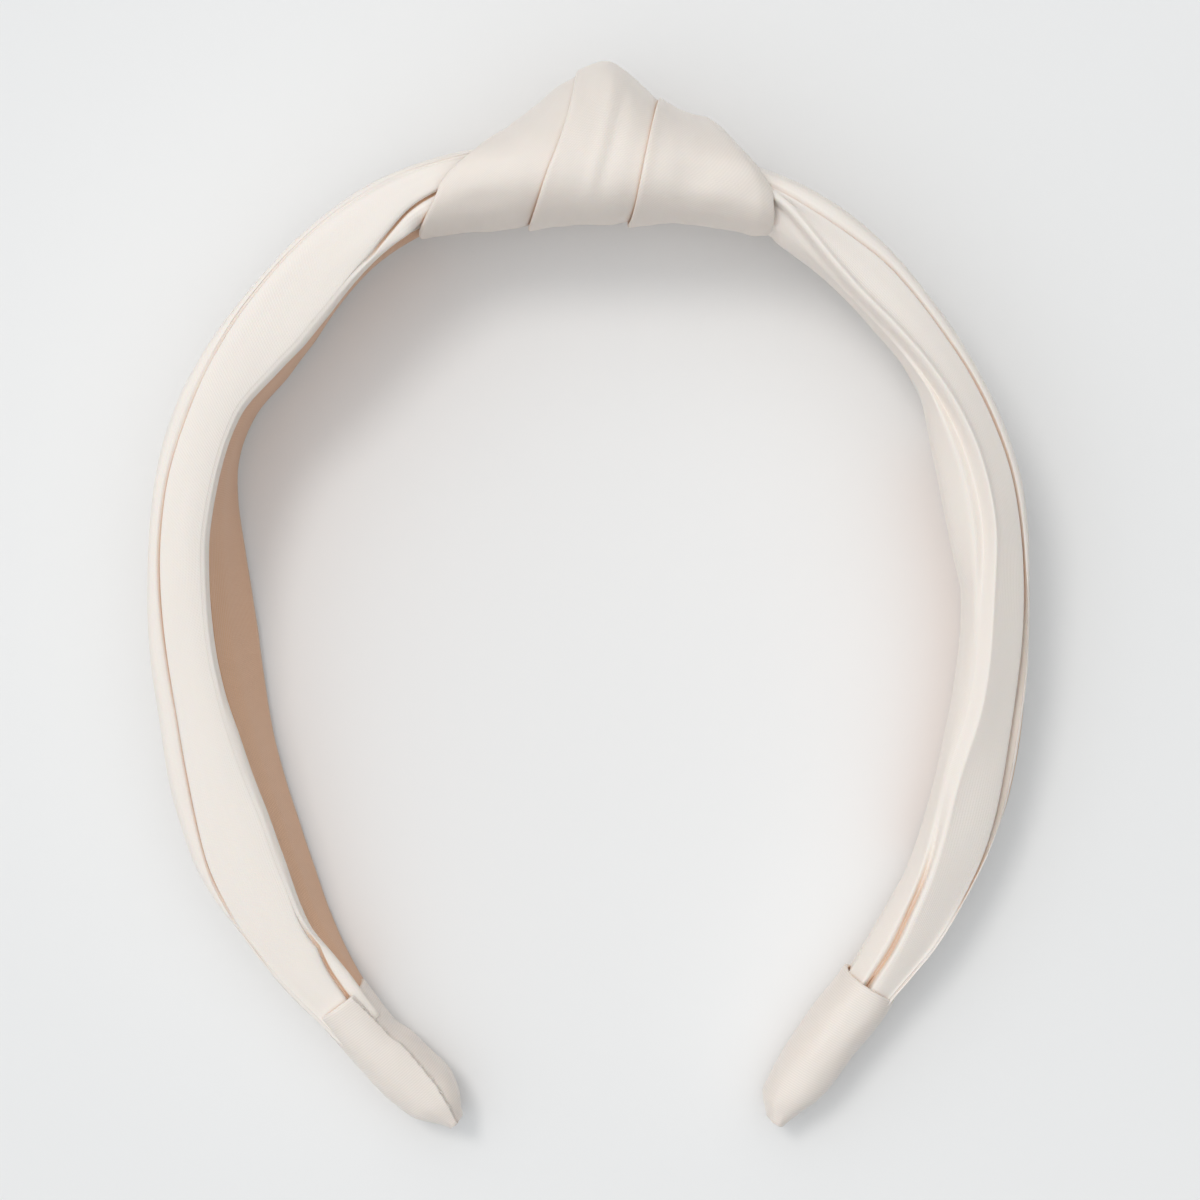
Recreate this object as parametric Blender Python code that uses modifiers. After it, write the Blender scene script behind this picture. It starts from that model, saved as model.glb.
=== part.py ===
"""Knotted satin headband, lying on its side as it rests on a table.

The crown with its knot points to +Y, the two tips to -Y, and the front edge of the band to +Z.
Everything follows one centre line, the route of the plastic hoop. A place on the band is given by
its distance along the route from the crown (positive to the right), how far it stands outward from
the centre line, and how far forward. The empty hoop_frame holds the whole band: it tips the hoop's
plane, because the band is deeper at the knot than at the tips and rests on all three.

The hoop is one elastic piece. Here it springs open at two hinges, one beyond each end of the knot,
so its core and lining are split there. The pieces of each leg hang on an empty on its hinge's axis.
"""

import math

import bmesh
import bpy
import numpy as np
from mathutils import Matrix, Vector

# The hoop's centre line in its own plane, from the left tip over the crown to the right tip.
ROUTE = [
    (-0.0220, -0.0830),
    (-0.0430, -0.0585),
    (-0.0565, -0.0280),
    (-0.0610, 0.0085),
    (-0.0532, 0.0382),
    (-0.0305, 0.0600),
    (0.0000, 0.0656),
    (0.0285, 0.0602),
    (0.0495, 0.0390),
    (0.0598, 0.0088),
    (0.0585, -0.0269),
    (0.0415, -0.0607),
    (0.0278, -0.0830),
]
CROWN_POINT = 6  # the route's point at the middle of the knot

# How the band lies on the table.
REST_TILT = math.radians(5.2)
HOOP_CENTRE = (0.00024, 0.00008, 0.0133)

# The hinges that stand for the hoop's bending, and the slit between crown and legs.
HINGE_DISTANCE = 0.0289
HINGE_OUTWARD = 0.0078
SLIT = 0.0008

# Plastic hoop, lining ribbon, glue.
CORE_THICKNESS = 0.0022
CORE_EDGE_MARGIN = 0.0036  # from the sleeve's edge to the core's
CORE_END_MARGIN = 0.0075  # from the cover's end to the core's
RIBBON_THICKNESS = 0.0005
RIBBON_SHARE = 0.84  # of the sleeve's width
GLUE_THICKNESS = 0.0008
GAP = 0.0003

# Satin sleeve of a leg: (share of the way from the hinge to the tip cover's rim, size).
SLEEVE_HALF_WIDTH = [(0.0, 0.0163), (0.2, 0.0153), (0.5, 0.0122), (0.85, 0.0085), (1.0, 0.0069), (1.1, 0.0065)]
SLEEVE_OUTER = [(0.0, 0.0066), (0.2, 0.0068), (0.5, 0.0070), (0.85, 0.0056), (1.0, 0.0040), (1.1, 0.0036)]
SLEEVE_INNER = [(0.0, -0.0038), (0.5, -0.0040), (0.85, -0.0038), (1.0, -0.0034), (1.1, -0.0032)]
SLEEVE_WALL = 0.0008
# How far the band's front edge tips outward, in degrees, at the same shares.
LEAN = {
    "left": [(0.0, 0.0), (0.30, 2.0), (0.57, 11.0), (0.82, 9.0), (1.0, 3.0), (1.2, 0.0)],
    "right": [(0.0, 0.0), (0.25, 4.0), (0.42, 7.0), (0.64, 2.0), (1.0, 1.0), (1.2, 0.0)],
}

# Tip covers: sizes at the rim, the middle and the pinched end.
COVER_LENGTH = 0.0262
COVER_HALF_WIDTH = [(0.0, 0.0080), (0.5, 0.0072), (0.85, 0.0064), (1.0, 0.0054)]
COVER_OUTER = [(0.0, 0.0053), (0.5, 0.0056), (0.85, 0.0040), (1.0, 0.0016)]
COVER_INNER = [(0.0, -0.0050), (0.5, -0.0050), (0.85, -0.0036), (1.0, -0.0015)]
COVER_WALL = 0.0008
TUCK = 0.0055  # how far the sleeve runs into its cover

# Knot: (distance along the route, size). The peak is just right of the crown's middle.
KNOT_OUTER = [
    (-0.029, 0.0073),
    (-0.013, 0.0098),
    (-0.006, 0.0142),
    (0.001, 0.0184),
    (0.009, 0.0138),
    (0.019, 0.0110),
    (0.029, 0.0068),
]
KNOT_INNER = [(-0.029, -0.0048), (-0.010, -0.0074), (0.010, -0.0074), (0.029, -0.0047)]
KNOT_HALF_WIDTH = [(-0.029, 0.0172), (-0.010, 0.0197), (0.010, 0.0197), (0.029, 0.0172)]
KNOT_WIDEST = 0.0015  # outward place of the knot's widest line
WRAP_WALL = 0.0014
WRAP_LAP = 0.0045
# Each wrap: left edge and right edge as (place, slant), where slant carries the outer side rightwards.
WRAPS = {
    "left": ((-0.0280, 0.0003), (-0.0071, 0.0036)),
    "middle": ((-0.0071, 0.0036), (0.0075, 0.0023)),
    "right": ((0.0075, 0.0023), (0.0283, 0.0)),
}

AROUND = 24
IVORY = (0.89, 0.83, 0.77)
LINING_TAN = (0.80, 0.56, 0.41)
PLASTIC_WHITE = (0.86, 0.85, 0.82)
GLUE_CLEAR = (0.80, 0.77, 0.68)

SIDES = {"left": -1, "right": 1}


def spline(places, values):
    """A natural cubic through the values at these places, as a function of the place."""
    places = np.asarray(places, float)
    values = np.asarray(values, float)
    count = len(places)
    steps = np.diff(places)
    slopes = np.diff(values, axis=0) / steps.reshape(-1, *[1] * (values.ndim - 1))
    system = np.eye(count)
    target = np.zeros_like(values)
    for i in range(1, count - 1):
        system[i, i - 1 : i + 2] = steps[i - 1], 2 * (steps[i - 1] + steps[i]), steps[i]
        target[i] = 6 * (slopes[i] - slopes[i - 1])
    bends = np.linalg.solve(system, target)

    def value(place):
        i = int(np.clip(np.searchsorted(places, place) - 1, 0, count - 2))
        after = places[i + 1] - place
        before = place - places[i]
        step = steps[i]
        curved = (bends[i] * after**3 + bends[i + 1] * before**3) / (6 * step)
        straight = (values[i] / step - bends[i] * step / 6) * after
        return curved + straight + (values[i + 1] / step - bends[i + 1] * step / 6) * before

    return value


def through(table):
    """A smooth function through a table of (place, value) pairs."""
    return spline(*zip(*table))


class Route:
    """The centre line, measured by its length from the crown."""

    def __init__(self, points):
        chords = [math.dist(a, b) for a, b in zip(points, points[1:])]
        places = np.concatenate([[0.0], np.cumsum(chords)])
        curve = spline(places, points)
        fine = np.linspace(0.0, places[-1], 3000)
        line = np.array([curve(place) for place in fine])
        lengths = np.concatenate([[0.0], np.cumsum(np.linalg.norm(np.diff(line, axis=0), axis=1))])
        self.line = line
        self.lengths = lengths - np.interp(places[CROWN_POINT], fine, lengths)
        self.reach = {"left": -self.lengths[0], "right": self.lengths[-1]}

    def at(self, distance):
        """The point and the outward direction there, in the hoop's plane."""
        point, ahead, behind = (
            Vector([np.interp(distance + step, self.lengths, self.line[:, axis]) for axis in (0, 1)])
            for step in (0.0, 0.0006, -0.0006)
        )
        along = (ahead - behind).normalized()
        return point, Vector((-along.y, along.x))

    def place(self, distance, outward, forward, lean=0.0):
        """A point of the band in the hoop's frame; lean tips the band's front edge outward."""
        point, normal = self.at(distance)
        out = outward * math.cos(lean) + forward * math.sin(lean)
        front = forward * math.cos(lean) - outward * math.sin(lean)
        return Vector((point.x + normal.x * out, point.y + normal.y * out, front))


ROUTE_LINE = Route(ROUTE)


def clear_scene():
    for obj in list(bpy.data.objects):
        bpy.data.objects.remove(obj, do_unlink=True)


def new_collection(name, rendered=True):
    collection = bpy.data.collections.new(name)
    bpy.context.scene.collection.children.link(collection)
    collection.hide_render = not rendered
    return collection


def principled(name, colour, roughness, sheen=0.0):
    material = bpy.data.materials.new(name)
    material.use_nodes = True
    shader = material.node_tree.nodes["Principled BSDF"]
    shader.inputs["Base Color"].default_value = (*colour, 1.0)
    shader.inputs["Roughness"].default_value = roughness
    shader.inputs["Metallic"].default_value = 0.0
    shader.inputs["Sheen Weight"].default_value = sheen
    return material


def add_body(name, collection, frame, hinge=None):
    """The empty that a rigid group of pieces hangs on, at its hinge in the hoop's frame."""
    body = bpy.data.objects.new(name, None)
    body.parent = frame
    body.location = hinge or (0.0, 0.0, 0.0)
    collection.objects.link(body)
    return body


def add_piece(name, shape, material, body):
    """Adds a mesh or curve drawn in the hoop's frame, and hangs it on its body."""
    obj = bpy.data.objects.new(name, shape)
    obj.parent = body
    obj.matrix_parent_inverse = Matrix.Translation(-body.location)
    body.users_collection[0].objects.link(obj)
    shape.materials.append(material)
    return obj


def add_solidify(obj, thickness, offset):
    """Gives an open surface its thickness: inwards for an offset of -1, to both sides for 0."""
    solid = obj.modifiers.new("wall", "SOLIDIFY")
    solid.thickness = thickness
    solid.offset = offset
    solid.use_even_offset = True
    solid.use_rim = True


def rounded_section(turn, outer, inner, widest, half_width, squareness=1.0):
    """(outward, forward) on a band's outline: turn 0 is its outer side, a quarter turn its front.

    A squareness of 1 makes a rounded triangle or an ellipse; less makes it fuller at the corners.
    """
    across = math.copysign(abs(math.cos(turn)) ** squareness, math.cos(turn))
    forward = math.copysign(abs(math.sin(turn)) ** squareness, math.sin(turn))
    middle = (outer + inner) / 2
    peak = (middle - widest) / 2
    outward = middle - peak + (outer - inner) / 2 * across + peak * math.cos(2 * turn)
    return outward, half_width * forward


def smooth_mesh(name, shape):
    """Ends a bmesh and gives its mesh, shaded smooth."""
    mesh = bpy.data.meshes.new(name)
    shape.to_mesh(mesh)
    shape.free()
    mesh.shade_smooth()
    return mesh


def lofted_tube(sections, close_end=False):
    """A tube through unlike sections, each a ring of points; its faces look outwards."""
    shape = bmesh.new()
    rings = [[shape.verts.new(point) for point in section] for section in sections]
    for ring, following in zip(rings, rings[1:]):
        join_rings(shape, ring, following)
    if close_end:
        shape.faces.new(rings[-1])
    bmesh.ops.recalc_face_normals(shape, faces=shape.faces)
    if not close_end:
        face_outwards(shape, rings[0])
    return smooth_mesh("tube", shape)


def join_rings(shape, ring, following):
    for i in range(len(ring)):
        j = (i + 1) % len(ring)
        shape.faces.new((ring[i], ring[j], following[j], following[i]))


def face_outwards(shape, first_ring):
    """Turns an open tube's faces away from its middle."""
    shape.faces.ensure_lookup_table()
    face = shape.faces[0]
    middle = sum((vert.co for vert in first_ring), Vector()) / len(first_ring)
    if face.normal.dot(face.calc_center_median() - middle) < 0:
        bmesh.ops.reverse_faces(shape, faces=shape.faces)


def ribbon_mesh(start, end, outward, half_width, lean, steps, across=2):
    """A strip along the route between two distances: a grid primitive laid along it."""
    shape = bmesh.new()
    bmesh.ops.create_grid(shape, x_segments=steps, y_segments=across, size=1.0)
    for vert in shape.verts:
        distance = start + (end - start) * (vert.co.x + 1) / 2
        forward = vert.co.y * half_width(distance)
        vert.co = ROUTE_LINE.place(distance, outward(distance), forward, lean(distance))
    return smooth_mesh("ribbon", shape)


def leg_share(side, distance):
    """How far along the leg this is, from 0 at the hinge to 1 at the tip cover's rim."""
    rim = ROUTE_LINE.reach[side] - COVER_LENGTH
    return (abs(distance) - HINGE_DISTANCE) / (rim - HINGE_DISTANCE)


def along_leg(side, table):
    """The table's smooth value as a function of the distance along the route."""
    curve = through(table)
    return lambda distance: curve(min(leg_share(side, distance), table[-1][0]))


def leg_lean(side):
    degrees = along_leg(side, LEAN[side])
    return lambda distance: math.radians(degrees(distance))


def no_lean(distance):
    return 0.0


def at_level(value):
    """The same value at every distance."""
    return lambda distance: value


def sleeve_section(side, distance):
    """The outline of a leg's satin sleeve at this distance, signed like its side."""
    outer, inner, half = (
        along_leg(side, table)(distance) for table in (SLEEVE_OUTER, SLEEVE_INNER, SLEEVE_HALF_WIDTH)
    )
    lean = leg_lean(side)(distance)
    points = []
    for i in range(AROUND):
        turn = 2 * math.pi * (i + 0.5) / AROUND
        outward, forward = rounded_section(turn, outer, inner, (outer + inner) / 2, half, 0.78)
        points.append(ROUTE_LINE.place(distance, outward, forward, lean))
    return points


def make_sleeve(side, material, body):
    sign = SIDES[side]
    start = HINGE_DISTANCE + SLIT / 2
    end = ROUTE_LINE.reach[side] - COVER_LENGTH + TUCK
    steps = 26
    sections = [
        sleeve_section(side, sign * (start + (end - start) * i / steps)) for i in range(steps + 1)
    ]
    obj = add_piece(f"sleeve_{side}", lofted_tube(sections), material, body)
    add_solidify(obj, SLEEVE_WALL, -1.0)


def core_half_width(side):
    """Half the plastic hoop's width, rounded off at the leg's end."""
    sleeve = along_leg(side, SLEEVE_HALF_WIDTH)
    end = ROUTE_LINE.reach[side] - CORE_END_MARGIN
    radius = 0.0032

    def half_width(distance):
        half = max(sleeve(distance) - CORE_EDGE_MARGIN, radius)
        into_end = max(abs(distance) - (end - radius), 0.0)
        return half - radius + math.sqrt(max(radius**2 - into_end**2, (radius / 3) ** 2))

    return half_width


def crown_half_width(margin):
    return at_level(SLEEVE_HALF_WIDTH[0][1] - margin)


def make_core(material, bodies):
    """The plastic hoop: its crown and its two legs."""
    end = HINGE_DISTANCE - SLIT / 2
    mesh = ribbon_mesh(-end, end, at_level(0.0), crown_half_width(CORE_EDGE_MARGIN), no_lean, 12)
    add_solidify(add_piece("core_crown", mesh, material, bodies["crown"]), CORE_THICKNESS, 0.0)
    for side, sign in SIDES.items():
        start = sign * (HINGE_DISTANCE + SLIT / 2)
        stop = sign * (ROUTE_LINE.reach[side] - CORE_END_MARGIN)
        mesh = ribbon_mesh(start, stop, at_level(0.0), core_half_width(side), leg_lean(side), 40)
        obj = add_piece(f"core_leg_{side}", mesh, material, bodies[side])
        add_solidify(obj, CORE_THICKNESS, 0.0)


def make_lining(material, bodies):
    """The ribbon glued to the inside: on the bare core under the knot, on the sleeve along the legs."""
    end = HINGE_DISTANCE - SLIT / 2
    level = at_level(-(CORE_THICKNESS / 2 + GAP + RIBBON_THICKNESS / 2))
    mesh = ribbon_mesh(-end, end, level, crown_half_width(2 * CORE_EDGE_MARGIN), no_lean, 12)
    add_solidify(add_piece("lining_crown", mesh, material, bodies["crown"]), RIBBON_THICKNESS, 0.0)
    for side, sign in SIDES.items():
        start = sign * (HINGE_DISTANCE + SLIT / 2)
        stop = sign * (ROUTE_LINE.reach[side] - COVER_LENGTH - 2 * GAP)
        under_sleeve = [(share, inner - GAP - RIBBON_THICKNESS / 2) for share, inner in SLEEVE_INNER]
        level = along_leg(side, under_sleeve)
        half = along_leg(side, [(share, width * RIBBON_SHARE) for share, width in SLEEVE_HALF_WIDTH])
        mesh = ribbon_mesh(start, stop, level, half, leg_lean(side), 26)
        obj = add_piece(f"lining_{side}", mesh, material, bodies[side])
        add_solidify(obj, RIBBON_THICKNESS, 0.0)


def knot_point(distance, turn, sunk):
    """A point of the knot's outside, or of the layer sunk this far under it."""
    outer = through(KNOT_OUTER)(distance) - sunk
    inner = through(KNOT_INNER)(distance) + sunk
    half = through(KNOT_HALF_WIDTH)(distance) - sunk
    outward, forward = rounded_section(turn, outer, inner, KNOT_WIDEST, half, 0.92)
    return ROUTE_LINE.place(distance, outward, forward)


def make_wrap(side, material, body, table_cutter):
    """One turn of satin round the knot. Its left edge lies over its neighbour's right edge."""
    (left, left_slant), (right, right_slant) = WRAPS[side]
    lap = WRAP_LAP if side != "right" else 0.0
    sink = WRAP_WALL + 2 * GAP if side != "right" else 0.0
    steps = 8
    around = 32
    sections = []
    for step in range(steps + 1):
        share = step / steps
        ring = []
        for i in range(around):
            turn = 2 * math.pi * (i + 0.5) / around
            start = left + left_slant * math.cos(turn)
            end = right + lap + right_slant * math.cos(turn)
            sunk = sink * min(max((share - 0.3) / 0.4, 0.0), 1.0)
            ring.append(knot_point(start + (end - start) * share, turn, sunk))
        sections.append(ring)
    obj = add_piece(f"knot_wrap_{side}", lofted_tube(sections), material, body)
    add_solidify(obj, WRAP_WALL, -1.0)
    rest_on_table(obj, table_cutter)


def make_knot_core(material, body):
    """The cloth's straight pass inside the knot, with a channel for hoop, ribbon and glue."""
    sunk = 2 * WRAP_WALL + 4 * GAP
    reach = 0.0262
    steps = 12
    channel_outer = CORE_THICKNESS / 2 + 3 * GAP + GLUE_THICKNESS
    channel_inner = -(CORE_THICKNESS / 2 + 3 * GAP + RIBBON_THICKNESS)
    channel_half = crown_half_width(CORE_EDGE_MARGIN)(0.0) + 2 * GAP
    shape = bmesh.new()
    rings = {"outside": [], "channel": []}
    for step in range(steps + 1):
        distance = -reach + 2 * reach * step / steps
        outside = []
        channel = []
        for i in range(AROUND):
            turn = 2 * math.pi * (i + 0.5) / AROUND
            outside.append(shape.verts.new(knot_point(distance, turn, sunk)))
            outward, forward = rounded_section(
                turn, channel_outer, channel_inner, (channel_outer + channel_inner) / 2, channel_half, 0.45
            )
            channel.append(shape.verts.new(ROUTE_LINE.place(distance, outward, forward)))
        rings["outside"].append(outside)
        rings["channel"].append(channel)
    for layer in rings.values():
        for ring, following in zip(layer, layer[1:]):
            join_rings(shape, ring, following)
    for end in (0, -1):
        join_rings(shape, rings["outside"][end], rings["channel"][end])
    bmesh.ops.recalc_face_normals(shape, faces=shape.faces)
    add_piece("knot_core", smooth_mesh("knot_core", shape), material, body)


def cover_point(side, share, turn, proud=0.0):
    """A point of a tip cover's outside; share runs from its rim to its pinched end."""
    outer, inner, half = (
        through(table)(share) for table in (COVER_OUTER, COVER_INNER, COVER_HALF_WIDTH)
    )
    distance = SIDES[side] * (ROUTE_LINE.reach[side] - COVER_LENGTH * (1 - share))
    outward, forward = rounded_section(
        turn, outer + proud, inner - proud, (outer + inner) / 2, half + proud, 0.8
    )
    return ROUTE_LINE.place(distance, outward, forward, leg_lean(side)(distance))


def make_tip_cover(side, material, body, table_cutter):
    steps = 9
    sections = [
        [cover_point(side, step / steps, 2 * math.pi * (i + 0.5) / AROUND) for i in range(AROUND)]
        for step in range(steps + 1)
    ]
    mesh = lofted_tube(sections, close_end=True)
    obj = add_piece(f"tip_cover_{side}", mesh, material, body)
    add_solidify(obj, COVER_WALL, -1.0)
    rest_on_table(obj, table_cutter)


def make_tip_seam(side, material, body):
    """The thread that closes the cover, along the front of its inner side."""
    radius = 0.0002
    curve = bpy.data.curves.new(f"tip_seam_{side}", "CURVE")
    curve.dimensions = "3D"
    curve.bevel_depth = radius
    curve.bevel_resolution = 1
    curve.use_fill_caps = True
    line = curve.splines.new("POLY")
    count = 14
    line.points.add(count - 1)
    for i, point in enumerate(line.points):
        share = 0.06 + 0.84 * i / (count - 1)
        point.co = (*cover_point(side, share, math.radians(128), radius + GAP), 1.0)
    add_piece(f"tip_seam_{side}", curve, material, body)


def make_glue(material, bodies):
    """Hot-melt pads on the hoop's outer face, under the knot and in the tip covers."""
    level = at_level(CORE_THICKNESS / 2 + GAP + GLUE_THICKNESS / 2)
    mesh = ribbon_mesh(-0.011, 0.011, level, at_level(0.006), no_lean, 6)
    add_solidify(add_piece("glue_pad_knot", mesh, material, bodies["crown"]), GLUE_THICKNESS, 0.0)
    for side, sign in SIDES.items():
        start = ROUTE_LINE.reach[side] - COVER_LENGTH + TUCK + 2 * GAP
        mesh = ribbon_mesh(
            sign * start, sign * (start + 0.0095), level, at_level(0.0026), leg_lean(side), 4
        )
        obj = add_piece(f"glue_pad_tip_{side}", mesh, material, bodies[side])
        add_solidify(obj, GLUE_THICKNESS, 0.0)


def make_table_cutter():
    """A block under the table's surface: it gives what rests there a flat place."""
    cutters = new_collection("cutters", rendered=False)
    bpy.ops.mesh.primitive_cube_add(size=1.0, location=(0.0, 0.0, -0.02))
    cutter = bpy.context.object
    cutter.name = "table_cutter"
    cutter.data.transform(Matrix.Diagonal((0.25, 0.25, 0.04, 1.0)))
    cutter.hide_render = True
    cutter.display_type = "WIRE"
    for holder in list(cutter.users_collection):
        holder.objects.unlink(cutter)
    cutters.objects.link(cutter)
    return cutter


def rest_on_table(obj, table_cutter):
    cut = obj.modifiers.new("table", "BOOLEAN")
    cut.operation = "DIFFERENCE"
    cut.solver = "EXACT"
    cut.object = table_cutter


def main():
    clear_scene()
    collection = new_collection("knotted_headband")
    frame = bpy.data.objects.new("hoop_frame", None)
    frame.location = HOOP_CENTRE
    frame.rotation_euler = (REST_TILT, 0.0, 0.0)
    collection.objects.link(frame)
    bodies = {"crown": add_body("crown", collection, frame)}
    for side, sign in SIDES.items():
        hinge = ROUTE_LINE.place(sign * HINGE_DISTANCE, HINGE_OUTWARD, 0.0)
        bodies[side] = add_body(f"{side}_leg", collection, frame, hinge)
    cutter = make_table_cutter()

    satin = principled("ivory_satin", IVORY, 0.42, sheen=0.4)
    ribbon = principled("lining_ribbon", LINING_TAN, 0.6, sheen=0.2)
    plastic = principled("white_plastic", PLASTIC_WHITE, 0.35)
    glue = principled("hot_melt_glue", GLUE_CLEAR, 0.25)
    thread = principled("ivory_thread", IVORY, 0.7)

    make_core(plastic, bodies)
    make_lining(ribbon, bodies)
    make_glue(glue, bodies)
    make_knot_core(satin, bodies["crown"])
    for wrap in WRAPS:
        make_wrap(wrap, satin, bodies["crown"], cutter)
    for side in SIDES:
        make_sleeve(side, satin, bodies[side])
        make_tip_cover(side, satin, bodies[side], cutter)
        make_tip_seam(side, thread, bodies[side])


main()
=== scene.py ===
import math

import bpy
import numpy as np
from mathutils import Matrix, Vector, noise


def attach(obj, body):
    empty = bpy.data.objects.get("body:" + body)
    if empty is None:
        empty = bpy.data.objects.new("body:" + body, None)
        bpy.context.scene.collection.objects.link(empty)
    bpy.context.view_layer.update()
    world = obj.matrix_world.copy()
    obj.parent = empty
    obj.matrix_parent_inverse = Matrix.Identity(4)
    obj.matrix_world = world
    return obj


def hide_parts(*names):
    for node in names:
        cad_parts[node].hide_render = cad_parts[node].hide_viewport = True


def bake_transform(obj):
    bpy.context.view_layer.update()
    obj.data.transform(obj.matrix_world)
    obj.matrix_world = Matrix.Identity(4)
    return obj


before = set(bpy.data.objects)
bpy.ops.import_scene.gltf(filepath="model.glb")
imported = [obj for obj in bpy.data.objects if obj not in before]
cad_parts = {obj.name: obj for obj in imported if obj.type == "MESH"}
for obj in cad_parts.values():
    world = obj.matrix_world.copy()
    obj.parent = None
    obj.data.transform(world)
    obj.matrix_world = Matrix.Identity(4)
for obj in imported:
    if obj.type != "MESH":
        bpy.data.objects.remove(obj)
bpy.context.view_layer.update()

# Looks of the knotted satin headband. The cloth pieces follow the same centre line as the CAD model.
# A place on the band is its distance along that line from the crown (positive to the right), how far
# it stands outward from the line, and how far forward, which is up on the table. The tables of the
# cloth's folds are in millimetres, the rest is in metres.

MM = 0.001
TABLE_TOP = 0.00005  # m, the lowest that cloth on the table goes

# The hoop's centre line and its place on the table, as in the CAD source.
ROUTE = [
    (-0.0220, -0.0830),
    (-0.0430, -0.0585),
    (-0.0565, -0.0280),
    (-0.0610, 0.0085),
    (-0.0532, 0.0382),
    (-0.0305, 0.0600),
    (0.0000, 0.0656),
    (0.0285, 0.0602),
    (0.0495, 0.0390),
    (0.0598, 0.0088),
    (0.0585, -0.0269),
    (0.0415, -0.0607),
    (0.0278, -0.0830),
]
CROWN_POINT = 6
REST_TILT = math.radians(5.2)
HOOP_CENTRE = (0.00024, 0.00008, 0.0133)
HINGE = 28.9  # mm from the crown to each hinge
COVER_LENGTH = 26.2  # mm
SIDES = {"left": -1, "right": 1}

# Where the cloth would bend between the crown and a leg, in mm from the crown; nothing here bends it.
BEND_START = 25.0
BEND_END = 42.0

# Where the legs' cloth starts, in mm from the crown, how much of it is inside a tip cover, and at
# how many places along the leg its outline is drawn.
SLEEVE_START = 9.0
SLEEVE_UNDER_COVER = 5.0
SLEEVE_STATIONS = 170
RIBBON_START = 29.5
RIBBON_UNDER_COVER = 3.0
RIBBON_STATIONS = 130
RIBBON_THICKNESS = 0.75  # mm
RIBBON_ROUNDING = 0.00018  # m


def softened(table, width=0.018):
    """A function through (place, value) pairs whose corners are rounded over this width."""
    places, values = np.array(table, float).T
    reach = 5 * width
    samples = 8  # to each width
    half_window = 4 * samples
    fine = np.arange(places[0] - reach, places[-1] + reach, width / samples)
    window = np.exp(-0.5 * (np.arange(-half_window, half_window + 1) / samples) ** 2)
    level = np.pad(np.interp(fine, places, values), half_window, mode="edge")
    level = np.convolve(level, window / window.sum(), "valid")
    return lambda place: np.interp(place, fine, level)


def ramp(value, start, end):
    """Goes smoothly from 0 at start to 1 at end."""
    share = np.clip((value - start) / (end - start), 0.0, 1.0)
    return share * share * (3 - 2 * share)


def hump(value, centre, width):
    """1 at the centre, falling smoothly to 0 over about twice the width."""
    return np.exp(-(((value - centre) / width) ** 2))


def natural_cubic(places, values):
    """The CAD source's curve through these values, as a function of a place."""
    count = len(places)
    steps = np.diff(places)
    slopes = np.diff(values, axis=0) / steps[:, None]
    system = np.eye(count)
    target = np.zeros_like(values)
    for i in range(1, count - 1):
        system[i, i - 1 : i + 2] = steps[i - 1], 2 * (steps[i - 1] + steps[i]), steps[i]
        target[i] = 6 * (slopes[i] - slopes[i - 1])
    bends = np.linalg.solve(system, target)

    def value(place):
        i = np.clip(np.searchsorted(places, place) - 1, 0, count - 2)
        step = steps[i][:, None]
        after = places[i + 1][:, None] - place[:, None]
        before = place[:, None] - places[i][:, None]
        curved = (bends[i] * after**3 + bends[i + 1] * before**3) / (6 * step)
        straight = (values[i] / step - bends[i] * step / 6) * after
        return curved + straight + (values[i + 1] / step - bends[i + 1] * step / 6) * before

    return value


class Route:
    """The centre line by its length from the crown, in mm."""

    HALF_STEP = 0.6  # mm to either side of a place, to find the line's direction there

    def __init__(self):
        points = np.array(ROUTE) / MM
        places = np.concatenate([[0.0], np.cumsum(np.linalg.norm(np.diff(points, axis=0), axis=1))])
        fine = np.linspace(0.0, places[-1], 3000)
        self.line = natural_cubic(places, points)(fine)
        pieces = np.linalg.norm(np.diff(self.line, axis=0), axis=1)
        lengths = np.concatenate([[0.0], np.cumsum(pieces)])
        self.lengths = lengths - np.interp(places[CROWN_POINT], fine, lengths)
        self.reach = {"left": -self.lengths[0], "right": self.lengths[-1]}

    def flat(self, distance):
        return np.stack(
            [np.interp(distance, self.lengths, self.line[:, axis]) for axis in (0, 1)], axis=-1
        )

    def place(self, distance, outward, forward):
        """World points in metres for arrays of distance, outward and forward in mm."""
        distance, outward, forward = np.broadcast_arrays(distance, outward, forward)
        along = self.flat(distance + self.HALF_STEP) - self.flat(distance - self.HALF_STEP)
        along /= np.linalg.norm(along, axis=-1, keepdims=True)
        x = self.flat(distance)[..., 0] - along[..., 1] * outward
        y = self.flat(distance)[..., 1] + along[..., 0] * outward
        tipped_y = y * math.cos(REST_TILT) - forward * math.sin(REST_TILT)
        tipped_z = y * math.sin(REST_TILT) + forward * math.cos(REST_TILT)
        return np.stack([x, tipped_y, tipped_z], axis=-1) * MM + np.array(HOOP_CENTRE)


BAND = Route()


# ---------------- cloth meshes


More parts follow.
